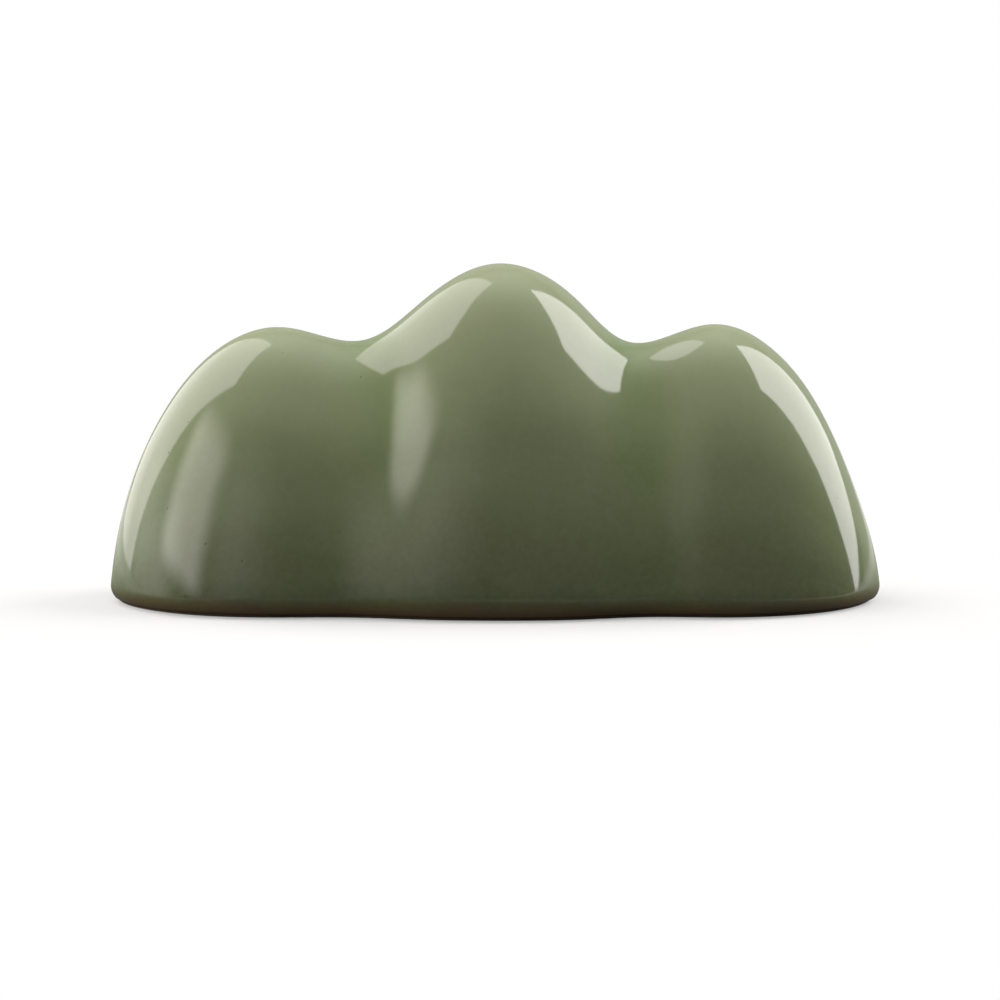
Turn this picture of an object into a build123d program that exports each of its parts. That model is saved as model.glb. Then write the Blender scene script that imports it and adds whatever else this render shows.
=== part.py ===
"""Brush rest: three soft peaks in a row, hollow and open below, slip cast and glazed green.

It is one fired thing made of three layers that never come apart: the porcelain body, the
thick green glaze outside, and the thin glaze that lines the hollow. Handles lie in the two
valleys. Z is up, X runs along the range, and the foot stands on the plane Z = 0.
"""
import os
from math import exp, pi, sin

from build123d import *

os.makedirs("parts", exist_ok=True)

# Sizes, in millimetres.
rest_length = 106.1          # at the foot line, before the foot is rounded
rest_depth = 40.0            # front to back, judged because the photo hides it
rest_height = 46.6           # foot to the middle peak
skirt = 5.0                  # extra below the foot, cut away once a form is made
foot_tuck = 0.25             # the foot is trimmed in from its guide curve by this much
foot_round = 2.4             # and rolls under with this radius
rim_bevel = 0.8              # inner edge of the foot
glaze_on_crest = 0.4         # the outer glaze runs thin along the top
glaze_low_down = 0.6         # and gathers towards the foot
wall = 3.6                   # porcelain
lining_thick = 0.3           # glaze inside
left_groove_width = 3.2      # under each saddle a soft groove runs down the side
left_groove_depth = 0.85
right_groove_width = 4.5
right_groove_depth = 0.6
bare_foot = 0.7              # the outer glaze is wiped off up to here
bare_inside = 4.0            # the lining stops here

# The range seen from the front, left to right: shares of half the length and of the height.
crest_shares = [
    (-0.9890, 0.0987), (-0.9400, 0.3498), (-0.8496, 0.5708), (-0.7143, 0.7468), (-0.5545, 0.8122),
    (-0.3459, 0.7693), (-0.1936, 0.8820), (0.0038, 1.0000), (0.2030, 0.9013), (0.3515, 0.7629),
    (0.5583, 0.8208), (0.7237, 0.7382), (0.8496, 0.5451), (0.9417, 0.2961), (0.9890, 0.0987),
]
# The foot seen from above, left to right: shares of half the length and of half the depth.
# The middle lobe stands forward of its neighbours.
plan_shares = [
    (-0.9200, 0.5000), (-0.8000, 0.7350), (-0.5640, 0.8650), (-0.3700, 0.8650), (-0.2000, 0.9520),
    (0.0000, 1.0000), (0.2400, 0.9450), (0.3960, 0.8450), (0.5640, 0.8650), (0.8000, 0.7350),
    (0.9200, 0.5000),
]
# How a rib narrows from the foot up to the crest.
side_power = 2.0
crest_power = 1.75
# Where the grooves run along the length, and how much they keep to the upper half.
left_groove_share = -0.264
right_groove_share = 0.405
groove_power = 2.0
# How far out along the length the feet of the end ribs stand. The ribs fan out from there.
hood_share = 0.836
rib_count = 33
rib_steps = 6
rib_strips = 4

half_length = rest_length / 2
half_depth = rest_depth / 2


def closed_loop(points, plane):
    """A closed curve through a half loop of points and its mirror image.

    Drawn whole, it crosses the mirror line squarely and with no kink.
    """
    level = points[0][1]
    mirrored = [(u, 2 * level - v) for u, v in points[-2:0:-1]]
    with BuildLine(plane) as loop:
        Spline(*points, *mirrored, periodic=True)
    return loop.edge()


def inner_points(points, low_inset, high_inset):
    """The same half loop for a deeper layer: each point moves in, square to the curve.

    The inset runs from the low one at the ends of the half loop to the high one at its top.
    """
    loop = closed_loop(points, Plane.XY)
    floor = points[0][1]
    span = max(v for u, v in points) - floor
    moved = [(points[0][0] + low_inset, floor)]
    for u, v in points[1:-1]:
        inset = low_inset + (high_inset - low_inset) * (v - floor) / span
        along = loop % loop.param_at_point(Vector(u, v))
        moved.append((u + along.Y * inset, v - along.X * inset))
    moved.append((points[-1][0] - low_inset, floor))
    return moved


def groove_cut(x, height_share):
    """How deep the grooves run at this place. They fade out at the crest and at the foot."""
    fading = sin(pi * height_share ** groove_power) ** 2
    left_off = (x - left_groove_share * half_length) / left_groove_width
    right_off = (x - right_groove_share * half_length) / right_groove_width
    return fading * (left_groove_depth * exp(-left_off**2) + right_groove_depth * exp(-right_off**2))


def range_form(crest_inset, side_inset):
    """The solid under a set of ribs, reaching down past the foot. Insets make a deeper layer.

    Each rib is a closed plane section: upright in the middle of the range, and leaning further
    over towards the ends, like the hoops of a folding hood.
    """
    crest = closed_loop(inner_points(crest_points, side_inset, crest_inset), Plane.XZ)
    plan = closed_loop(inner_points(plan_points, side_inset, side_inset), Plane.XY)
    foot_span = hood_share * (half_length - side_inset)
    spacing = [step / (2 * rib_steps) for step in range(2 * rib_steps + 1)]
    ribs = []
    for count in range(rib_count):
        run = count / (rib_count - 1)
        top = crest @ (run / 2)
        foot_x = foot_span * sin(pi / 2 * (2 * run - 1))
        back = []
        for step in range(rib_steps):
            climb = sin(pi / 2 * step / rib_steps)
            x = foot_x + (top.X - foot_x) * climb
            rise = max((top.Z + skirt) * climb, 0)
            crest_hits = crest.intersect(Axis((x, 0, 0), (0, 0, 1)))
            crest_rise = max(hit.Z for hit in crest_hits) + skirt
            plan_hits = plan.intersect(Axis((x, 0, 0), (0, 1, 0)))
            reach = max(hit.Y for hit in plan_hits)
            narrowing = 1 - (rise / crest_rise) ** crest_power
            height_share = max((rise - skirt) / (crest_rise - skirt), 0)
            y = reach * narrowing ** (1 / side_power) - groove_cut(x, height_share)
            back.append((x, y, rise - skirt))
        front = [(x, -y, z) for x, y, z in back]
        arch = Edge.make_spline(front + [(top.X, 0, top.Z)] + back[::-1], parameters=spacing)
        strips = [arch.trim(k / rib_strips, (k + 1) / rib_strips) for k in range(rib_strips)]
        ribs.append(Wire([*strips, Edge.make_line(arch @ 1, arch @ 0)]))
    return Solid.make_loft(ribs)


crest_points = [(x * half_length, z * rest_height) for x, z in crest_shares]
crest_points = [(-half_length, -skirt)] + crest_points + [(half_length, -skirt)]
plan_points = [(x * half_length, y * half_depth) for x, y in plan_shares]
plan_points = [(-half_length, 0)] + plan_points + [(half_length, 0)]

def foot_block(side_inset, rolled):
    """A straight block over the foot plan, rolled under at the bottom, to trim a form with."""
    with BuildPart() as block:
        with BuildSketch():
            with BuildLine():
                add(closed_loop(inner_points(plan_points, side_inset, side_inset), Plane.XY))
            make_face()
        extrude(amount=rest_height + skirt)
        fillet(block.faces().sort_by(Axis.Z)[0].edges(), radius=rolled)
    return block.part


# The outside of the finished piece, rolled under to the foot all round.
with BuildPart() as glazed_form:
    add(range_form(0, 0))
    add(foot_block(foot_tuck, foot_round), mode=Mode.INTERSECT)

# The bare form under the glaze.
with BuildPart() as bare_form:
    add(range_form(glaze_on_crest, glaze_low_down))
    add(foot_block(foot_tuck + glaze_low_down, foot_round - glaze_low_down), mode=Mode.INTERSECT)

# The hollow that the slip leaves when the mould is emptied, and the same less its lining.
hollow_form = range_form(glaze_on_crest + wall, glaze_low_down + wall)
lined_form = range_form(glaze_on_crest + wall + lining_thick, glaze_low_down + wall + lining_thick)

# Porcelain body, with the inner edge of its foot bevelled where it is fettled.
bevel_inset = foot_tuck + glaze_low_down + wall - rim_bevel
with BuildPart() as porcelain_body:
    add(bare_form)
    add(hollow_form, mode=Mode.SUBTRACT)
    for rise in (0, 2 * rim_bevel):
        inset = bevel_inset + rise
        with BuildSketch(Plane.XY.offset(rise)):
            with BuildLine():
                add(closed_loop(inner_points(plan_points, inset, inset), Plane.XY))
            make_face()
    loft(mode=Mode.SUBTRACT)

# Outer glaze, wiped off the foot.
with BuildPart() as outer_glaze:
    add(glazed_form)
    split(bisect_by=Plane.XY.offset(bare_foot), keep=Keep.TOP)
    add(bare_form, mode=Mode.SUBTRACT)

# Inner glaze, which stops short of the foot.
with BuildPart() as inner_glaze:
    add(hollow_form)
    split(bisect_by=Plane.XY.offset(bare_inside), keep=Keep.TOP)
    add(lined_form, mode=Mode.SUBTRACT)

porcelain_body.part.label = "porcelain_body"
export_step(porcelain_body.part, "parts/porcelain_body.step")
outer_glaze.part.label = "outer_glaze"
export_step(outer_glaze.part, "parts/outer_glaze.step")
inner_glaze.part.label = "inner_glaze"
export_step(inner_glaze.part, "parts/inner_glaze.step")
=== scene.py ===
# %% [markdown]
# # A brush rest in celadon glaze
# A brush rest holds wet brushes off the table: each handle lies in a dip between two peaks.
# This one is a small range of three soft peaks. It was cast in porcelain slip, so it is
# hollow, and then covered in a thick green glaze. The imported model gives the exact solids.
# This lesson dresses them: the glaze is grown from the same rule that shaped the solid, and
# each surface gets the finish of the real one.

import math

import bpy
import numpy as np
from mathutils import Matrix, Vector


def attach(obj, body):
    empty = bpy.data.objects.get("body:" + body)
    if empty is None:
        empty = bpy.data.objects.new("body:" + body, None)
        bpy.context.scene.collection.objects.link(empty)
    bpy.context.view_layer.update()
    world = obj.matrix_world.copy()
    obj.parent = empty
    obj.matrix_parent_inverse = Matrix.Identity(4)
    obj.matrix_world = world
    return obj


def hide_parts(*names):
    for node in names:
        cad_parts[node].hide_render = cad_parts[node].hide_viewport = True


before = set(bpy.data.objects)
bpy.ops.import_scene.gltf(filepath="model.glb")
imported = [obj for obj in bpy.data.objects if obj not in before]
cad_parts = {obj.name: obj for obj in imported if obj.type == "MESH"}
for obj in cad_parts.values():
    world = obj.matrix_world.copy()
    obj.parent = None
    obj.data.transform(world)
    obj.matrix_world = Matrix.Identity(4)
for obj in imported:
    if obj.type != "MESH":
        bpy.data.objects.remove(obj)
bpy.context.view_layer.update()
MM = 0.001
print("solids:", sorted(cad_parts))

# %% [markdown]
# ## Colours and nodes
# A colour is picked as an sRGB hex value, the way an eye reads it from a screen, but shaders
# work with linear light, so one function turns the first into the second. A second function
# adds a node to any tree, sets its options, and links or fills its inputs. Then each node of
# the lesson is one line, and the whole tree can be read from top to bottom. The kinds and
# options that come back often get a short name.

# %% Two helpers
def linear(hex_colour):
    """An sRGB hex colour as linear RGBA."""
    channels = [int(hex_colour[i:i + 2], 16) / 255 for i in (1, 3, 5)]
    channels = [c / 12.92 if c <= 0.04045 else ((c + 0.055) / 1.055) ** 2.4 for c in channels]
    return (*channels, 1.0)


def add_node(tree, kind, settings=None, inputs=None, stops=()):
    """Adds one node, with its options, its inputs filled or linked, and its colour stops."""
    node = tree.nodes.new(kind)
    for name, value in (settings or {}).items():
        setattr(node, name, value)
    for key, value in (inputs or {}).items():
        if isinstance(value, bpy.types.NodeSocket):
            tree.links.new(value, node.inputs[key])
        elif str(value).startswith("#"):
            node.inputs[key].default_value = linear(value)
        else:
            node.inputs[key].default_value = value
    for i, (place, hex_colour) in enumerate(stops):
        ramp = node.color_ramp.elements
        stop = ramp[i] if i < len(ramp) else ramp.new(place)
        stop.position = place
        stop.color = linear(hex_colour)
    return node


MATH, VECTOR, MIX = "ShaderNodeMath", "ShaderNodeVectorMath", "ShaderNodeMix"
SPLIT, JOIN, RANGE = "ShaderNodeSeparateXYZ", "ShaderNodeCombineXYZ", "ShaderNodeMapRange"
ADD, SUBTRACT, MULTIPLY, DIVIDE, POWER, MAXIMUM, SCALE = [{"operation": word} for word in (
    "ADD", "SUBTRACT", "MULTIPLY", "DIVIDE", "POWER", "MAXIMUM", "SCALE")]
COLOURS = {"data_type": "RGBA"}
SMOOTHLY = {"interpolation_type": "SMOOTHSTEP"}
print("mid grey #808080 is", round(linear("#808080")[0], 3), "in linear light")

# %% [markdown]
# ## Sizes
# The scene can't read the drawing of the part, so it repeats the sizes that it needs, in
# millimetres. The crest line and the foot line are given as shares of the half length, the
# height and the half depth, because it was their proportions that were judged.

# %% Sizes and guide points
HALF_LENGTH = 53.02
HALF_DEPTH = 20.0
HEIGHT = 46.6
SKIRT = 5.0             # the crest curve is drawn on to this depth below the foot
FOOT_ROUND = 2.4        # the wall rolls under to the foot with this radius
BARE_FOOT = 0.7         # the glaze stops here, so that it can't stick to the kiln shelf
STILL_FOOT = 4.0        # the melting fades in over this height above the glaze's edge
GLAZE = 0.5
SIDE_POWER = 2.0        # how a rib narrows as it climbs
CREST_POWER = 1.75
HOOD_SHARE = 0.836      # the end ribs fan out from here
GROOVE_POWER = 2.0      # how far the grooves keep to the upper half
GROOVES = {             # place along the rest, width and depth
    "Left groove": (-14.0, 3.2, 0.85),
    "Right groove": (21.5, 4.5, 0.6),
}
CREST_SHARES = [
    (-0.9890, 0.0987), (-0.9400, 0.3498), (-0.8496, 0.5708), (-0.7143, 0.7468), (-0.5545, 0.8122),
    (-0.3459, 0.7693), (-0.1936, 0.8820), (0.0038, 1.0000), (0.2030, 0.9013), (0.3515, 0.7629),
    (0.5583, 0.8208), (0.7237, 0.7382), (0.8496, 0.5451), (0.9417, 0.2961), (0.9890, 0.0987),
]
PLAN_SHARES = [
    (-0.9200, 0.5000), (-0.8000, 0.7350), (-0.5640, 0.8650), (-0.3700, 0.8650), (-0.2000, 0.9520),
    (0.0000, 1.0000), (0.2400, 0.9450), (0.3960, 0.8450), (0.5640, 0.8650), (0.8000, 0.7350),
    (0.9200, 0.5000),
]
print("the rest is about", 2 * HALF_LENGTH, "by", 2 * HALF_DEPTH, "by", HEIGHT, "mm")

# %% [markdown]
# ## The two guide lines
# Everything about the form comes from two curves: the crest, seen from the front, and the
# foot, seen from above. Each is drawn as a closed loop with its own mirror image, so that it
# turns upright at the two ends with no kink. A cubic spline through a few points gives the
# same soft line that a modeller would cut in a plaster template. Blender's own curves could
# do this too, but their handles would need setting one by one.

# %% A smooth line through a few points
def half_loop(points, steps):
    """A smooth line through a half loop of points, as if it closed through its mirror image."""
    level = points[0][1]
    loop = np.array(points + [(u, 2 * level - v) for u, v in points[-2:0:-1]])
    ahead = np.roll(loop, -1, axis=0)
    gaps = np.linalg.norm(ahead - loop, axis=1)
    count = len(loop)
    weights = np.zeros((count, count))
    pull = np.zeros((count, 2))
    for i in range(count):
        before, after = gaps[i - 1], gaps[i]
        weights[i, i - 1] += before
        weights[i, i] += 2 * (before + after)
        weights[i, (i + 1) % count] += after
        pull[i] = 6 * ((ahead[i] - loop[i]) / after - (loop[i] - loop[i - 1]) / before)
    bend = np.linalg.solve(weights, pull)
    line = []
    for i in range(len(points) - 1):
        for t in np.linspace(0, 1, steps, endpoint=False):
            s = 1 - t
            curl = (s ** 3 - s) * bend[i] + (t ** 3 - t) * bend[(i + 1) % count]
            line.append(s * loop[i] + t * ahead[i] + curl * gaps[i] ** 2 / 6)
    return np.array(line + [loop[len(points) - 1]])


crest_points = [(x * HALF_LENGTH, z * HEIGHT) for x, z in CREST_SHARES]
crest_points = [(-HALF_LENGTH, -SKIRT)] + crest_points + [(HALF_LENGTH, -SKIRT)]
plan_points = [(x * HALF_LENGTH, y * HALF_DEPTH) for x, y in PLAN_SHARES]
plan_points = [(-HALF_LENGTH, 0)] + plan_points + [(HALF_LENGTH, 0)]
STEPS = 400             # from one guide point to the next
crest_line = half_loop(crest_points, STEPS)
plan_line = half_loop(plan_points, STEPS)
print("the crest tops out at", round(float(crest_line[:, 1].max()), 2), "mm")

# %% [markdown]
# Geometry Nodes reads a guide as a mesh of edges. The glaze sheet is grown flat to the point
# where its lower edge will be once the wall has rolled under, so the crest guide is cut off
# there: the arc of the roll is longer than its height.

# %% The guides as edge meshes
def edge_line(name, points):
    """A line of points as a mesh of edges."""
    mesh = bpy.data.meshes.new(name)
    mesh.from_pydata(points, [(i, i + 1) for i in range(len(points) - 1)], [])
    guide = bpy.data.objects.new(name, mesh)
    bpy.context.scene.collection.objects.link(guide)
    return guide


ROLL_TURN = math.asin((FOOT_ROUND - BARE_FOOT) / FOOT_ROUND)
SHEET_BASE = FOOT_ROUND - FOOT_ROUND * ROLL_TURN
crest_above = crest_line[crest_line[:, 1] >= SHEET_BASE]
crest_guide = edge_line("crest_guide", [(x * MM, 0, z * MM) for x, z in crest_above])
plan_guide = edge_line("plan_guide", [(x * MM, y * MM, 0) for x, y in plan_line])
print("the sheet starts at", round(SHEET_BASE, 2), "mm and rolls under by",
      round(math.degrees(ROLL_TURN)), "degrees")

# %% [markdown]
# ## The glaze sheet as a rule
# The form follows a rule, so Geometry Nodes can grow it, and a change of one size changes the
# whole sheet. A flat grid is read as ribs: one direction runs along the crest, the other
# climbs from the front foot over the top to the back foot. The tree starts with its named
# inputs, which hold every size.

# %% A tree with named inputs
range_tree = bpy.data.node_groups.new("mountain_range", "GeometryNodeTree")
for label, kind, default in (
    ("Crest", "NodeSocketObject", None),
    ("Plan", "NodeSocketObject", None),
    ("Ribs", "NodeSocketInt", 321),
    ("Points per rib", "NodeSocketInt", 121),
    ("Base height", "NodeSocketFloat", SHEET_BASE * MM),
    ("Skirt", "NodeSocketFloat", SKIRT * MM),
    ("Hood reach", "NodeSocketFloat", HOOD_SHARE * HALF_LENGTH * MM),
    ("Crest power", "NodeSocketFloat", CREST_POWER),
    ("Side power", "NodeSocketFloat", SIDE_POWER),
    ("Groove power", "NodeSocketFloat", GROOVE_POWER),
    ("Left groove", "NodeSocketVector", [MM * size for size in GROOVES["Left groove"]]),
    ("Right groove", "NodeSocketVector", [MM * size for size in GROOVES["Right groove"]]),
    ("Foot round", "NodeSocketFloat", FOOT_ROUND * MM),
    ("Melt steps", "NodeSocketInt", 12),
    ("Pool steps", "NodeSocketInt", 160),
    ("Material", "NodeSocketMaterial", None),
):
    socket = range_tree.interface.new_socket(label, in_out="INPUT", socket_type=kind)
    if default is not None:
        socket.default_value = default
range_tree.interface.new_socket("Geometry", in_out="OUTPUT", socket_type="NodeSocketGeometry")
given = add_node(range_tree, "NodeGroupInput").outputs
print("inputs:", [item.name for item in range_tree.interface.items_tree if item.in_out == "INPUT"])

# %% [markdown]
# ### Ribs that fan out
# Upright slices would crowd together at the two ends, where the crest drops steeply, and
# leave long thin faces that shade badly. So every rib leans: its top sits on the crest, and
# its foot keeps closer to the middle, like the hoops of a folding hood. The sine and cosine
# spread the points evenly round the bends.

# %% Places on the ribs
grid = add_node(range_tree, "GeometryNodeMeshGrid", None, {
    "Size X": 1.0, "Size Y": 1.0,
    "Vertices X": given["Ribs"], "Vertices Y": given["Points per rib"]})
place = add_node(range_tree, "GeometryNodeInputPosition").outputs[0]
flat = add_node(range_tree, SPLIT, None, {0: place}).outputs
run = add_node(range_tree, MATH, ADD, {0: flat["X"], 1: 0.5}).outputs[0]
along = add_node(range_tree, MATH, MULTIPLY, {0: flat["X"], 1: math.pi}).outputs[0]
across = add_node(range_tree, MATH, MULTIPLY, {0: flat["Y"], 1: math.pi}).outputs[0]
swing = add_node(range_tree, MATH, {"operation": "SINE"}, {0: along}).outputs[0]
climb = add_node(range_tree, MATH, {"operation": "COSINE"}, {0: across}).outputs[0]

crest_mesh = add_node(range_tree, "GeometryNodeObjectInfo", None, {
    "Object": given["Crest"]}).outputs["Geometry"]
plan_mesh = add_node(range_tree, "GeometryNodeObjectInfo", None, {
    "Object": given["Plan"]}).outputs["Geometry"]
crest_curve = add_node(range_tree, "GeometryNodeMeshToCurve", None, {"Mesh": crest_mesh}).outputs[0]
on_crest = add_node(range_tree, "GeometryNodeSampleCurve", {
    "mode": "FACTOR", "use_all_curves": True}, {
    "Curves": crest_curve, "Factor": run}).outputs["Position"]
rib_top = add_node(range_tree, SPLIT, None, {0: on_crest}).outputs
rib_foot = add_node(range_tree, MATH, MULTIPLY, {
    0: swing, 1: given["Hood reach"]}).outputs[0]
rib_x = add_node(range_tree, MIX, {"data_type": "FLOAT"}, {
    "Factor": climb, "A": rib_foot, "B": rib_top["X"]}).outputs["Result"]
rib_z = add_node(range_tree, MIX, {"data_type": "FLOAT"}, {
    "Factor": climb, "A": given["Base height"], "B": rib_top["Z"]}).outputs["Result"]
print(len(range_tree.nodes), "nodes so far")

# %% [markdown]
# ### How high and how wide it is there
# A leaning rib crosses many places along the rest, so each of its points needs the crest and
# the foot at its own place. Both guides are extruded to narrow ribbons, and a ray against
# each ribbon finds the value. An extrude whose offset is left unlinked follows the normals,
# which lines of edges don't have, so both offsets are linked.

# %% Rays against the two guides
RIBBON = 10 * MM        # their width
FAR = 1.0               # well outside the rest
deep = add_node(range_tree, JOIN, None, {"Y": RIBBON}).outputs[0]
tall = add_node(range_tree, JOIN, None, {"Z": RIBBON}).outputs[0]
crest_ribbon = add_node(range_tree, "GeometryNodeExtrudeMesh", {"mode": "EDGES"}, {
    "Mesh": crest_mesh, "Offset": deep}).outputs["Mesh"]
plan_ribbon = add_node(range_tree, "GeometryNodeExtrudeMesh", {"mode": "EDGES"}, {
    "Mesh": plan_mesh, "Offset": tall}).outputs["Mesh"]
# A hair's breadth inwards keeps the rays of the two end points from passing the ribbons by.
near_x = add_node(range_tree, MATH, MULTIPLY, {0: rib_x, 1: 0.99999}).outputs[0]
over_crest = add_node(range_tree, JOIN, None, {"X": near_x, "Y": RIBBON / 2, "Z": FAR}).outputs[0]
behind_plan = add_node(range_tree, JOIN, None, {"X": near_x, "Y": FAR, "Z": RIBBON / 2}).outputs[0]
crest_hit = add_node(range_tree, "GeometryNodeRaycast", None, {
    "Target Geometry": crest_ribbon, "Source Position": over_crest, "Ray Direction": (0, 0, -1),
    "Ray Length": 2 * FAR}).outputs["Hit Position"]
plan_hit = add_node(range_tree, "GeometryNodeRaycast", None, {
    "Target Geometry": plan_ribbon, "Source Position": behind_plan, "Ray Direction": (0, -1, 0),
    "Ray Length": 2 * FAR}).outputs["Hit Position"]
crest_z = add_node(range_tree, SPLIT, None, {0: crest_hit}).outputs["Z"]
plan_y = add_node(range_tree, SPLIT, None, {0: plan_hit}).outputs["Y"]
print(len(range_tree.nodes), "nodes so far")

# %% [markdown]
# ### From the foot to nothing at the crest
# The range is as deep as its foot at the bottom and closes to nothing at the crest. In
# between it narrows as a power of the height: high powers would give a loaf, low ones a tent.

# %% The narrowing
risen = add_node(range_tree, MATH, ADD, {0: rib_z, 1: given["Skirt"]}).outputs[0]
whole = add_node(range_tree, MATH, ADD, {0: crest_z, 1: given["Skirt"]}).outputs[0]
ratio = add_node(range_tree, MATH, DIVIDE, {0: risen, 1: whole}).outputs[0]
steep = add_node(range_tree, MATH, POWER, {0: ratio, 1: given["Crest power"]}).outputs[0]
remains = add_node(range_tree, MATH, {"operation": "SUBTRACT", "use_clamp": True}, {
    0: 1.0, 1: steep}).outputs[0]
inverse = add_node(range_tree, MATH, DIVIDE, {0: 1.0, 1: given["Side power"]}).outputs[0]
narrow = add_node(range_tree, MATH, POWER, {0: remains, 1: inverse}).outputs[0]
reach = add_node(range_tree, MATH, MULTIPLY, {0: narrow, 1: plan_y}).outputs[0]
print(len(range_tree.nodes), "nodes so far")

# %% [markdown]
# ### Two soft grooves
# Under each saddle a shallow groove runs down the side, where the fold between two peaks was
# smoothed with a wet finger. A bell curve gives its width, and a squared sine lets it fade
# out at the crest and again at the foot. The share of the way up to the crest is also kept as
# an attribute, before the points move, because the glaze material needs it.

# %% The grooves and the finished ribs
share = add_node(range_tree, MATH, {"operation": "DIVIDE", "use_clamp": True}, {
    0: rib_z, 1: crest_z}).outputs[0]
high_up = add_node(range_tree, MATH, POWER, {0: share, 1: given["Groove power"]}).outputs[0]
half_turn = add_node(range_tree, MATH, MULTIPLY, {0: high_up, 1: math.pi}).outputs[0]
belly = add_node(range_tree, MATH, {"operation": "SINE"}, {0: half_turn}).outputs[0]
deepest = add_node(range_tree, MATH, POWER, {0: belly, 1: 2.0}).outputs[0]
for label in GROOVES:
    groove = add_node(range_tree, SPLIT, None, {0: given[label]}).outputs
    off = add_node(range_tree, MATH, SUBTRACT, {0: rib_x, 1: groove["X"]}).outputs[0]
    widths = add_node(range_tree, MATH, DIVIDE, {0: off, 1: groove["Y"]}).outputs[0]
    squared = add_node(range_tree, MATH, POWER, {0: widths, 1: 2.0}).outputs[0]
    falling = add_node(range_tree, MATH, MULTIPLY, {0: squared, 1: -1.0}).outputs[0]
    bell = add_node(range_tree, MATH, {"operation": "EXPONENT"}, {0: falling}).outputs[0]
    depth = add_node(range_tree, MATH, MULTIPLY, {0: bell, 1: groove["Z"]}).outputs[0]
    cut = add_node(range_tree, MATH, MULTIPLY, {0: depth, 1: deepest}).outputs[0]
    reach = add_node(range_tree, MATH, SUBTRACT, {0: reach, 1: cut}).outputs[0]
front_or_back = add_node(range_tree, MATH, {"operation": "SIGN"}, {0: flat["Y"]}).outputs[0]
rib_y = add_node(range_tree, MATH, MULTIPLY, {0: reach, 1: front_or_back}).outputs[0]
on_rib = add_node(range_tree, JOIN, None, {"X": rib_x, "Y": rib_y, "Z": rib_z}).outputs[0]
known = add_node(range_tree, "GeometryNodeStoreNamedAttribute", {
    "data_type": "FLOAT", "domain": "POINT"}, {
    "Geometry": grid.outputs["Mesh"], "Name": "up_to_crest", "Value": share}).outputs[0]
ribbed = add_node(range_tree, "GeometryNodeSetPosition", None, {
    "Geometry": known, "Position": on_rib}).outputs[0]
print(len(range_tree.nodes), "nodes so far")

# %% [markdown]
# ### Melting and pooling
# Glaze melts in the kiln: it draws thin over a ridge and gathers in a hollow. A short blur
# moves the surface and softens it. A long blur moves nothing and only measures: where the
# blurred place lies outside the surface the form is hollow, and the distance is kept as an
# attribute that the glaze material reads for its colour.

# %% A short blur to move, a long one to measure
level_now = add_node(range_tree, SPLIT, None, {0: place}).outputs["Z"]
above_edge = add_node(range_tree, MATH, SUBTRACT, {
    0: level_now, 1: given["Base height"]}).outputs[0]
free = add_node(range_tree, MATH, {"operation": "MULTIPLY", "use_clamp": True}, {
    0: above_edge, 1: 1 / (STILL_FOOT * MM)}).outputs[0]
melted = add_node(range_tree, "GeometryNodeBlurAttribute", {"data_type": "FLOAT_VECTOR"}, {
    "Value": place, "Iterations": given["Melt steps"], "Weight": free}).outputs[0]
softened = add_node(range_tree, "GeometryNodeSetPosition", None, {
    "Geometry": ribbed, "Position": melted}).outputs[0]
settled = add_node(range_tree, "GeometryNodeBlurAttribute", {"data_type": "FLOAT_VECTOR"}, {
    "Value": place, "Iterations": given["Pool steps"], "Weight": free}).outputs[0]
sunk = add_node(range_tree, VECTOR, SUBTRACT, {0: settled, 1: place}).outputs[0]
facing = add_node(range_tree, "GeometryNodeInputNormal").outputs[0]
pooling = add_node(range_tree, VECTOR, {"operation": "DOT_PRODUCT"}, {
    0: sunk, 1: facing}).outputs["Value"]
pooled = add_node(range_tree, "GeometryNodeStoreNamedAttribute", {
    "data_type": "FLOAT", "domain": "POINT"}, {
    "Geometry": softened, "Name": "pooling", "Value": pooling}).outputs[0]
print(len(range_tree.nodes), "nodes so far")

# %% [markdown]
# ### The wall rolls under
# The foot of a cast piece is sponged round, so that it stands on a narrow rim inside the
# outline. The part of the sheet below the start of the roll is wrapped on to a quarter round:
# its length down the wall becomes an angle, and the sine and cosine of that angle lift it and
# pull it inwards along the level normal.

# %% The roll, and the end of the tree
below = add_node(range_tree, MATH, SUBTRACT, {
    0: given["Foot round"], 1: level_now}).outputs[0]
wrapped = add_node(range_tree, MATH, MAXIMUM, {0: below, 1: 0.0}).outputs[0]
turn = add_node(range_tree, MATH, DIVIDE, {0: wrapped, 1: given["Foot round"]}).outputs[0]
turn_sin = add_node(range_tree, MATH, {"operation": "SINE"}, {0: turn}).outputs[0]
turn_cos = add_node(range_tree, MATH, {"operation": "COSINE"}, {0: turn}).outputs[0]
arc_drop = add_node(range_tree, MATH, MULTIPLY, {
    0: turn_sin, 1: given["Foot round"]}).outputs[0]
lift = add_node(range_tree, MATH, SUBTRACT, {0: wrapped, 1: arc_drop}).outputs[0]
short = add_node(range_tree, MATH, SUBTRACT, {0: turn_cos, 1: 1.0}).outputs[0]
inward = add_node(range_tree, MATH, MULTIPLY, {0: short, 1: given["Foot round"]}).outputs[0]
level_normal = add_node(range_tree, VECTOR, MULTIPLY, {0: facing, 1: (1, 1, 0)}).outputs[0]
outward = add_node(range_tree, VECTOR, {"operation": "NORMALIZE"}, {0: level_normal}).outputs[0]
pulled = add_node(range_tree, VECTOR, SCALE, {0: outward, "Scale": inward}).outputs[0]
lifted = add_node(range_tree, JOIN, None, {"Z": lift}).outputs[0]
rolled = add_node(range_tree, VECTOR, ADD, {0: pulled, 1: lifted}).outputs[0]
footed = add_node(range_tree, "GeometryNodeSetPosition", None, {
    "Geometry": pooled, "Offset": rolled}).outputs[0]

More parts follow.
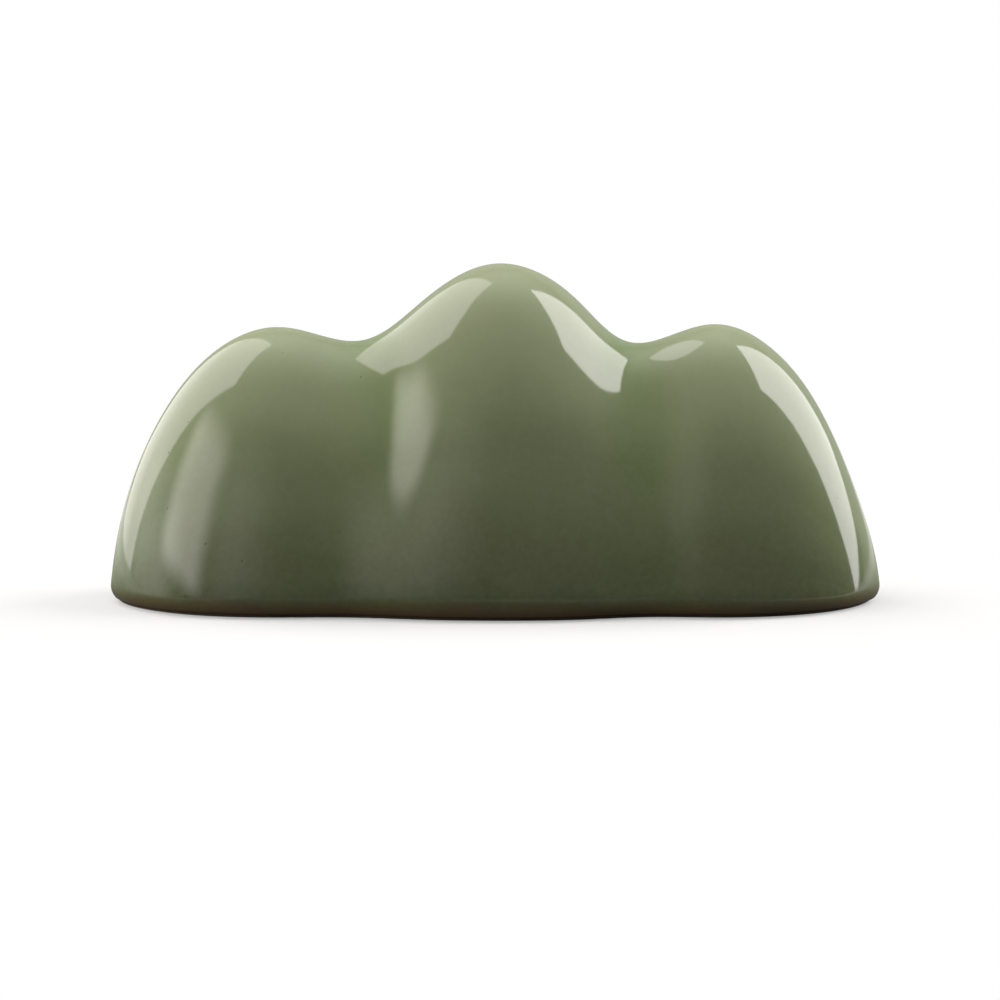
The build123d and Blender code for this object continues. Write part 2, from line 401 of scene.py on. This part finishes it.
smooth = add_node(range_tree, "GeometryNodeSetShadeSmooth", None, {"Geometry": footed}).outputs[0]
real = add_node(range_tree, "GeometryNodeRealizeInstances", None, {"Geometry": smooth}).outputs[0]
dressed = add_node(range_tree, "GeometryNodeSetMaterial", None, {
    "Geometry": real, "Material": given["Material"]}).outputs[0]
add_node(range_tree, "NodeGroupOutput", None, {"Geometry": dressed})
print("the tree has", len(range_tree.nodes), "nodes")

# %% [markdown]
# ## Materials
# Every material starts from the object's own coordinates, turned into millimetres, so that
# each pattern can be given its real size. It ends in one shader, whose bump, colour and
# roughness are linked, while a value that is the same everywhere is set on the shader itself.

# %% The start and the end that all materials share
def start_material(name):
    """An empty material's tree, and the place of each point in millimetres."""
    material = bpy.data.materials.new(name)
    material.use_nodes = True
    material.node_tree.nodes.clear()
    place = add_node(material.node_tree, "ShaderNodeTexCoord").outputs["Object"]
    mm = add_node(material.node_tree, VECTOR, SCALE, {0: place, "Scale": 1 / MM}).outputs[0]
    return material, material.node_tree, mm


def finish_material(tree, inputs):
    """The shader itself, linked to the output."""
    shader = add_node(tree, "ShaderNodeBsdfPrincipled", None, inputs)
    add_node(tree, "ShaderNodeOutputMaterial", None, {"Surface": shader.outputs[0]})
    print(len(tree.nodes), "nodes")


# %% [markdown]
# ### Celadon glaze
# Celadon is a thick, glossy, feldspar glaze that iron turns green in a smoky kiln. What it
# gives the eye is depth: pale and a little yellow where it runs thin over the crest, olive
# where it is thick low down. The base colour is a ramp over the kept share of the way up to
# the crest, so the low peaks are as pale at their tops as the high one. The ramp goes further
# than the glaze does: it is darker towards the foot as painted shade, and paler along the crest
# as painted light. A slow noise keeps any colour from ending on an even line.

# %% Celadon: colour by the way up
celadon, glaze_tree, mm = start_material("celadon_glaze")
cloud = add_node(glaze_tree, "ShaderNodeTexNoise", None, {
    "Vector": mm, "Scale": 1 / 14, "Detail": 3.0, "Roughness": 0.55}).outputs["Fac"]
drift = add_node(glaze_tree, RANGE, None, {
    "Value": cloud, "From Min": 0.3, "From Max": 0.7, "To Min": -0.05, "To Max": 0.05}).outputs[0]
up_to_crest = add_node(glaze_tree, "ShaderNodeAttribute", {
    "attribute_name": "up_to_crest"}).outputs["Fac"]
wavy_share = add_node(glaze_tree, MATH, {"operation": "ADD", "use_clamp": True}, {
    0: up_to_crest, 1: drift}).outputs[0]
# Painted shade and light: the ramp darkens the glaze towards the foot and lightens it along the
# crest, beyond its real thickening.
glaze_and_shade_ramp = add_node(glaze_tree, "ShaderNodeValToRGB", None, {"Fac": wavy_share}, [
    (0.00, "#55523a"), (0.06, "#575e3e"), (0.16, "#646b4b"), (0.50, "#76805c"), (0.80, "#8c9672"),
    (1.00, "#929d7a")])
glaze_and_shade_ramp.color_ramp.interpolation = "EASE"
colour = glaze_and_shade_ramp.outputs["Color"]
print("olive at the foot to pale green along the crest")

# %% [markdown]
# The other kept attribute steers the colour too. Hollows, where glaze pools, turn greener: the
# ramp is multiplied by a pale green. Ridges turn paler, towards the clay that shows through.

# %% Celadon: pools and ridges
pooling = add_node(glaze_tree, "ShaderNodeAttribute", {"attribute_name": "pooling"}).outputs["Fac"]
thick = add_node(glaze_tree, RANGE, None, {
    "Value": pooling, "From Min": -0.45 * MM, "From Max": 0.15 * MM}).outputs[0]
colour = add_node(glaze_tree, MIX, {"data_type": "RGBA", "blend_type": "MULTIPLY"}, {
    0: thick, 6: colour, 7: "#eaf4e3"}).outputs[2]
thin = add_node(glaze_tree, RANGE, None, {
    "Value": pooling, "From Min": -0.55 * MM, "From Max": -1.5 * MM, "To Max": 0.25}).outputs[0]
colour = add_node(glaze_tree, MIX, COLOURS, {0: thin, 6: colour, 7: "#b2b592"}).outputs[2]
print(len(glaze_tree.nodes), "nodes so far")

# %% [markdown]
# Thousands of tiny bubbles stay in the melt and cloud it. Real ones are a tenth of a
# millimetre, too fine to see here, so the clouding is drawn about ten times as coarse. A few
# specks of iron lie under the glaze: a Voronoi pattern of 2.6 mm cells, in which only one
# cell in seven keeps its speck.

# %% Celadon: bubbles and iron specks
bubbles = add_node(glaze_tree, "ShaderNodeTexNoise", None, {
    "Vector": mm, "Scale": 1 / 0.9, "Detail": 4.0, "Roughness": 0.6}).outputs["Fac"]
milky = add_node(glaze_tree, RANGE, None, {
    "Value": bubbles, "From Min": 0.35, "From Max": 0.75, "To Max": 0.06}).outputs[0]
colour = add_node(glaze_tree, MIX, COLOURS, {0: milky, 6: colour, 7: "#b4bca0"}).outputs[2]
cells = add_node(glaze_tree, "ShaderNodeTexVoronoi", {"feature": "F1"}, {
    "Vector": mm, "Scale": 1 / 2.6}).outputs
lot = add_node(glaze_tree, "ShaderNodeSeparateColor", None, {0: cells["Color"]}).outputs["Red"]
drawn = add_node(glaze_tree, MATH, {"operation": "GREATER_THAN"}, {0: lot, 1: 0.86}).outputs[0]
near = add_node(glaze_tree, RANGE, SMOOTHLY, {
    "Value": cells["Distance"], "From Min": 0.035, "From Max": 0.075,
    "To Min": 1.0, "To Max": 0.0}).outputs[0]
speck = add_node(glaze_tree, MATH, MULTIPLY, {0: near, 1: drawn}).outputs[0]
faint = add_node(glaze_tree, MATH, MULTIPLY, {0: speck, 1: 0.55}).outputs[0]
colour = add_node(glaze_tree, MIX, COLOURS, {0: faint, 6: colour, 7: "#3a3524"}).outputs[2]
print(len(glaze_tree.nodes), "nodes so far")

# %% [markdown]
# The glaze ends in a brown line above the bare foot, where iron from the clay bleeds into
# it. The line lies mostly on the roll that turns under towards the floor, so its brown is partly
# painted shade under the foot. For the relief, a slow swell makes reflections waver a little,
# as they do on anything dipped by hand, and each speck has left a pinhole. The gloss is that of
# glass.

# %% Celadon: brown edge, relief and gloss
rise = add_node(glaze_tree, SPLIT, None, {0: mm}).outputs["Z"]
edge_noise = add_node(glaze_tree, "ShaderNodeTexNoise", None, {
    "Vector": mm, "Scale": 1 / 3.5, "Detail": 2.0}).outputs["Fac"]
edge_top = add_node(glaze_tree, RANGE, None, {
    "Value": edge_noise, "From Min": 0.3, "From Max": 0.7, "To Min": 2.6, "To Max": 4.2}).outputs[0]
# Partly painted shade: the brown band is darkest at the glaze's edge, on the roll that faces the
# floor.
brown_edge = add_node(glaze_tree, RANGE, SMOOTHLY, {
    "Value": rise, "From Min": BARE_FOOT, "From Max": edge_top,
    "To Min": 0.7, "To Max": 0.0}).outputs[0]
colour = add_node(glaze_tree, MIX, COLOURS, {0: brown_edge, 6: colour, 7: "#6a563c"}).outputs[2]
swell = add_node(glaze_tree, "ShaderNodeTexNoise", None, {
    "Vector": mm, "Scale": 1 / 9, "Detail": 1.0}).outputs["Fac"]
swollen = add_node(glaze_tree, "ShaderNodeBump", None, {
    "Height": swell, "Strength": 1.0, "Distance": 0.06 * MM}).outputs[0]
dimpled = add_node(glaze_tree, "ShaderNodeBump", {"invert": True}, {
    "Height": speck, "Strength": 1.0, "Distance": 0.03 * MM, "Normal": swollen}).outputs[0]
gloss = add_node(glaze_tree, RANGE, None, {
    "Value": bubbles, "To Min": 0.05, "To Max": 0.11}).outputs[0]
finish_material(glaze_tree, {
    "Base Color": colour, "Roughness": gloss, "IOR": 1.6, "Normal": dimpled})

# %% [markdown]
# ### Fired porcelain at the bare foot
# The rim that stands on the kiln shelf is left without glaze. Fired porcelain clay with a
# little iron comes out buff, and toasted where the flame reached the edge of the glaze. It is
# matt and finely gritty to the touch, so it gets a grain of a quarter of a millimetre.

# %% Fired porcelain
porcelain, clay_tree, mm = start_material("fired_porcelain")
rise = add_node(clay_tree, SPLIT, None, {0: mm}).outputs["Z"]
patches = add_node(clay_tree, "ShaderNodeTexNoise", None, {
    "Vector": mm, "Scale": 1 / 6, "Detail": 4.0, "Roughness": 0.6}).outputs["Fac"]
colour = add_node(clay_tree, "ShaderNodeValToRGB", None, {"Fac": patches}, [
    (0.30, "#8d7a62"), (0.50, "#a08e77"), (0.70, "#b3a38d")]).outputs["Color"]
toasted = add_node(clay_tree, RANGE, SMOOTHLY, {
    "Value": rise, "From Min": 0.1, "From Max": 0.7}).outputs[0]
colour = add_node(clay_tree, MIX, COLOURS, {0: toasted, 6: colour, 7: "#4f3b28"}).outputs[2]
grit = add_node(clay_tree, "ShaderNodeTexNoise", None, {
    "Vector": mm, "Scale": 1 / 0.25, "Detail": 3.0}).outputs["Fac"]
dark_grit = add_node(clay_tree, RANGE, None, {
    "Value": grit, "From Min": 0.3, "From Max": 0.7, "To Max": 0.25}).outputs[0]
colour = add_node(clay_tree, MIX, COLOURS, {0: dark_grit, 6: colour, 7: "#5b4936"}).outputs[2]
gritty = add_node(clay_tree, "ShaderNodeBump", None, {
    "Height": grit, "Strength": 0.6, "Distance": 0.03 * MM}).outputs[0]
finish_material(clay_tree, {"Base Color": colour, "Roughness": 0.7, "IOR": 1.45, "Normal": gritty})

# %% [markdown]
# ### Thin glaze inside
# Glaze was swilled round the hollow and poured out, so the inside is paler and streaky, with
# a softer gloss, and brown near its lower edge.

# %% The lining
lining, lining_tree, mm = start_material("thin_celadon_lining")
rise = add_node(lining_tree, SPLIT, None, {0: mm}).outputs["Z"]
streaks = add_node(lining_tree, "ShaderNodeTexNoise", None, {
    "Vector": mm, "Scale": 1 / 7, "Detail": 4.0, "Roughness": 0.6}).outputs["Fac"]
colour = add_node(lining_tree, "ShaderNodeValToRGB", None, {"Fac": streaks}, [
    (0.30, "#87926f"), (0.50, "#98a27f"), (0.70, "#a8b08f")]).outputs["Color"]
brown_edge = add_node(lining_tree, RANGE, SMOOTHLY, {
    "Value": rise, "From Min": 4.0, "From Max": 6.0, "To Min": 0.7, "To Max": 0.0}).outputs[0]
colour = add_node(lining_tree, MIX, COLOURS, {0: brown_edge, 6: colour, 7: "#6a5a41"}).outputs[2]
swell = add_node(lining_tree, "ShaderNodeTexNoise", None, {
    "Vector": mm, "Scale": 1 / 5, "Detail": 2.0}).outputs["Fac"]
swollen = add_node(lining_tree, "ShaderNodeBump", None, {
    "Height": swell, "Strength": 1.0, "Distance": 0.1 * MM}).outputs[0]
finish_material(lining_tree, {
    "Base Color": colour, "Roughness": 0.18, "IOR": 1.55, "Normal": swollen})

# %% [markdown]
# ## The porcelain body and its lining
# The solids of the body and of the inner glaze already have the right shape. They stay as
# they are and only get their finish, in the material slot that their mesh has.

# %% Dress the two solids
for node, material in (("porcelain_body", porcelain), ("inner_glaze", lining)):
    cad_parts[node].material_slots[0].material = material
    print(node, "is now", material.name)

# %% [markdown]
# ## Grow the outer glaze
# The tree runs on an empty mesh. Its inputs are set by their identifiers before the first
# evaluation, and the result is copied out as a plain mesh. Then the guides have done their
# work and are taken away.

# %% Run the tree
def grow(name, sizes):
    """Runs the tree and keeps the result as a plain mesh."""
    holder = bpy.data.objects.new(name + "_rule", bpy.data.meshes.new(name))
    bpy.context.scene.collection.objects.link(holder)
    rule = holder.modifiers.new("rule", "NODES")
    rule.node_group = range_tree
    for item in range_tree.interface.items_tree:
        if item.in_out == "INPUT" and item.name in sizes:
            rule[item.identifier] = sizes[item.name]
    seen = holder.evaluated_get(bpy.context.evaluated_depsgraph_get())
    piece = bpy.data.objects.new(name, bpy.data.meshes.new_from_object(seen))
    bpy.data.objects.remove(holder)
    bpy.context.scene.collection.objects.link(piece)
    return piece


glaze = grow("glaze_coat", {"Crest": crest_guide, "Plan": plan_guide, "Material": celadon})
for guide in (crest_guide, plan_guide):
    bpy.data.objects.remove(guide)
print("the sheet has", len(glaze.data.polygons), "faces")

# %% [markdown]
# A glaze is a layer, not a skin without thickness, and at the foot its edge shows. Solidify
# gives it half a millimetre towards the clay, and Bevel rounds the edge as melting does. The
# sheet replaces the glaze solid, which is hidden, and hangs from the root body.

# %% Thickness and edge
layer = glaze.modifiers.new("thickness", "SOLIDIFY")
layer.thickness = GLAZE * MM
layer.offset = -1
soft_edge = glaze.modifiers.new("edge", "BEVEL")
soft_edge.width = 0.15 * MM
soft_edge.segments = 3
soft_edge.limit_method = "ANGLE"
soft_edge.angle_limit = math.radians(50)
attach(glaze, "root")
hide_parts("outer_glaze")
print("the glaze is", GLAZE, "mm thick and rides on the body")

# %% [markdown]
# ## Floor and backdrop
# A studio sweep is one sheet of paper that runs level under the object and then curves up
# behind it, so that no line of a corner shows. It keeps the soft shadow close to the object.
# Further out it glows white for the camera and for reflections, so the background comes from
# the paper and not from more light on the object. In front, where a real table ends and the
# room is dark, reflections stay dark too: that gives the rolled foot its dark line. They also
# see the far end dimmer than the camera does, or the crest would get a bright rim.

# %% The sweep
HALF_WIDTH = 3.0        # metres, as all sizes of the set are
BEND_START = 1.6
BEND_RADIUS = 0.6
BEND_STEPS = 8
WALL_TOP = 2.2
profile = [(-HALF_WIDTH, 0.0), (BEND_START, 0.0)]
for step in range(1, BEND_STEPS + 1):
    bend = step / BEND_STEPS * math.pi / 2
    y = BEND_START + BEND_RADIUS * math.sin(bend)
    profile.append((y, BEND_RADIUS - BEND_RADIUS * math.cos(bend)))
profile.append((BEND_START + BEND_RADIUS, WALL_TOP))
floor_mesh = bpy.data.meshes.new("floor")
floor_mesh.from_pydata(
    [(x, y, z) for y, z in profile for x in (-HALF_WIDTH, HALF_WIDTH)], [],
    [(2 * i, 2 * i + 1, 2 * i + 3, 2 * i + 2) for i in range(len(profile) - 1)])
floor_mesh.shade_smooth()
floor = bpy.data.objects.new("floor", floor_mesh)
bpy.context.scene.collection.objects.link(floor)
print("the sweep has", len(floor_mesh.polygons), "faces")

# %% [markdown]
# The paper's material mixes a plain diffuse grey with white light. Light Path says what kind
# of ray is looking: the camera, a glossy and a transmission ray see the white, while the
# light that bounces on to the object comes from the plain grey. Close to the object the camera
# sees only a third of the white, so the shadow stays, but pale.

# %% The paper
paper, paper_tree, mm = start_material("sweep_paper")
looking = add_node(paper_tree, "ShaderNodeLightPath").outputs
camera_ray = looking["Is Camera Ray"]
mirrored = add_node(paper_tree, MATH, MAXIMUM, {
    0: looking["Is Glossy Ray"], 1: looking["Is Transmission Ray"]}).outputs[0]
distance = add_node(paper_tree, VECTOR, {"operation": "LENGTH"}, {0: mm}).outputs["Value"]
away = add_node(paper_tree, RANGE, SMOOTHLY, {
    "Value": distance, "From Min": 30, "From Max": 170}).outputs[0]
dim_behind = add_node(paper_tree, RANGE, None, {
    "Value": distance, "From Min": 300, "From Max": 1000, "To Min": 1.0, "To Max": 0.4}).outputs[0]
depth = add_node(paper_tree, SPLIT, None, {0: mm}).outputs["Y"]
not_in_front = add_node(paper_tree, RANGE, SMOOTHLY, {
    "Value": depth, "From Min": -250, "From Max": 50}).outputs[0]
in_mirror = add_node(paper_tree, MATH, MULTIPLY, {0: mirrored, 1: not_in_front}).outputs[0]
in_mirror = add_node(paper_tree, MATH, MULTIPLY, {0: in_mirror, 1: dim_behind}).outputs[0]
seen_white = add_node(paper_tree, MATH, MAXIMUM, {0: camera_ray, 1: in_mirror}).outputs[0]
far_white = add_node(paper_tree, MATH, MULTIPLY, {0: away, 1: seen_white}).outputs[0]
white = add_node(paper_tree, MATH, {"operation": "MULTIPLY_ADD", "use_clamp": True}, {
    0: camera_ray, 1: 0.35, 2: far_white}).outputs[0]
shade = add_node(paper_tree, MIX, COLOURS, {
    0: camera_ray, 6: "#565553", 7: "#e8e8e6"}).outputs[2]
matt = add_node(paper_tree, "ShaderNodeBsdfDiffuse", None, {"Color": shade})
light = add_node(paper_tree, "ShaderNodeEmission", None, {"Color": "#ffffff", "Strength": 1.0})
both = add_node(paper_tree, "ShaderNodeMixShader", None, {
    0: white, 1: matt.outputs[0], 2: light.outputs[0]})
add_node(paper_tree, "ShaderNodeOutputMaterial", None, {"Surface": both.outputs[0]})
floor.data.materials.append(paper)
print("the paper has", len(paper_tree.nodes), "nodes")

# %% [markdown]
# ## Light
# A glossy glaze shows its lamps, so their shape and place are part of the likeness. Two crisp
# softboxes stand left and right, a little behind the object, and draw the bright strips on
# the shoulders. A softer one at the front left draws the broad pale streaks. A dim card in
# front and one at the side fill in round it, and a wide, dim ceiling lifts the crest. Each is
# placed by compass round the object, so that a strip can be moved by turning its lamp. The
# cloth of a softbox is never quite even: it is brighter where the bulb is, and a cheap one
# fades out towards its rims.

# %% Softboxes
# For each direction of the cloth: its glow at the start and at the end, and the shares of it
# that fade out at either rim.
HAIR = 0.001            # the rim of a crisp box
SOFT = (1, 1, 0.5, 0.5)
LIT_POINT = Vector((0, 0, 20 * MM))


def softbox(name, azimuth, elevation, distance, size, glow, tint, roll=0.0, across=SOFT, up=SOFT):
    """A rectangular light, placed by compass: 0 is behind the object, 90 to its right."""
    data = bpy.data.lights.new(name, "AREA")
    data.shape = "RECTANGLE"
    data.size, data.size_y = size
    data.energy = glow * math.pi * size[0] * size[1]
    data.color = linear(tint)[:3]
    data.use_nodes = True
    cloth = data.node_tree
    cloth.nodes.clear()
    spot = add_node(cloth, "ShaderNodeNewGeometry").outputs["Parametric"]
    on_cloth = add_node(cloth, SPLIT, None, {0: spot}).outputs
    strength = 1.0
    for axis, (start, end, fade_in, fade_out) in (("X", across), ("Y", up)):
        lean = add_node(cloth, RANGE, None, {
            "Value": on_cloth[axis], "To Min": start, "To Max": end}).outputs[0]
        near_rim = add_node(cloth, RANGE, SMOOTHLY, {
            "Value": on_cloth[axis], "From Max": fade_in}).outputs[0]
        far_rim = add_node(cloth, RANGE, SMOOTHLY, {
            "Value": on_cloth[axis], "From Min": 1.0, "From Max": 1 - fade_out}).outputs[0]
        for part in (lean, near_rim, far_rim):
            strength = add_node(cloth, MATH, MULTIPLY, {0: part, 1: strength}).outputs[0]
    lit = add_node(cloth, "ShaderNodeEmission", None, {"Strength": strength})
    add_node(cloth, "ShaderNodeOutputLight", None, {"Surface": lit.outputs[0]})
    lamp = bpy.data.objects.new(name, data)
    bpy.context.scene.collection.objects.link(lamp)
    az, el = math.radians(azimuth), math.radians(elevation)
    away = Vector((math.cos(el) * math.sin(az), math.cos(el) * math.cos(az), math.sin(el)))
    lamp.location = LIT_POINT + distance * away
    turn = (-away).to_track_quat("-Z", "Y").to_matrix().to_4x4()
    lamp.rotation_euler = (turn @ Matrix.Rotation(math.radians(roll), 4, "Z")).to_euler()
    print(name, "gives", round(data.energy, 2), "W")


softbox("left_box", -62, 34.6, 0.49, (0.465, 0.90), 2.75, "#fff9fa", roll=-24.7,
        across=(0.76, 1.06, HAIR, HAIR), up=(0.82, 1.10, HAIR, HAIR))
softbox("right_box", 74, 31.6, 0.72, (0.495, 0.855), 5.5, "#fffbfc", roll=27,
        across=(1.04, 0.84, HAIR, HAIR), up=(0.76, 1.14, HAIR, HAIR))
softbox("front_left_box", -122.5, 20.8, 0.9, (0.78, 0.64), 3.3, "#fffbf2", roll=-10,
        across=(1.12, 0.74, 0.30, 0.30), up=(1.0, 0.9, 0.13, 0.34))
softbox("front_card", -155, 13, 0.9, (0.80, 0.85), 0.58, "#fffbf2")
softbox("side_card", -92, 6, 0.9, (1.2, 0.56), 1.6, "#fffdf8", across=(1, 1, 0.4, 0.4))
softbox("ceiling", 0, 80, 1.2, (2.4, 2.0), 0.85, "#ffffff")

# %% [markdown]
# The world is the dim room round the set. It only keeps the shadows open.

# %% The room
room = bpy.data.worlds.new("studio")
bpy.context.scene.world = room
room.use_nodes = True
room.node_tree.nodes.clear()
dim_room = add_node(room.node_tree, "ShaderNodeBackground", None, {
    "Color": "#ffffff", "Strength": 0.165})
add_node(room.node_tree, "ShaderNodeOutputWorld", None, {"Surface": dim_room.outputs[0]})
print("room light", dim_room.inputs["Strength"].default_value)

# %% [markdown]
# ## Camera
# The camera looks from straight in front and a little above, from 1.2 m away, as a
# photographer would stand to keep such a small thing free of distortion. The lens follows
# from how much of the set the frame takes in.

# %% The camera
FRAME_WIDTH = 136.9 * MM
SENSOR = 36             # millimetres
DISTANCE = 1.2
ELEVATION = math.radians(8.5)
AIM = Vector((0.68 * MM, 0, 13.9 * MM))
camera_data = bpy.data.cameras.new("camera")
camera = bpy.data.objects.new("camera", camera_data)
bpy.context.scene.collection.objects.link(camera)
camera.location = AIM + DISTANCE * Vector((0, -math.cos(ELEVATION), math.sin(ELEVATION)))
camera.rotation_euler = (AIM - camera.location).to_track_quat("-Z", "Y").to_euler()
camera_data.sensor_width = SENSOR
camera_data.lens = SENSOR * DISTANCE / FRAME_WIDTH
bpy.context.scene.camera = camera
bpy.context.scene.view_settings.view_transform = "Standard"
print("lens", round(camera_data.lens), "mm")
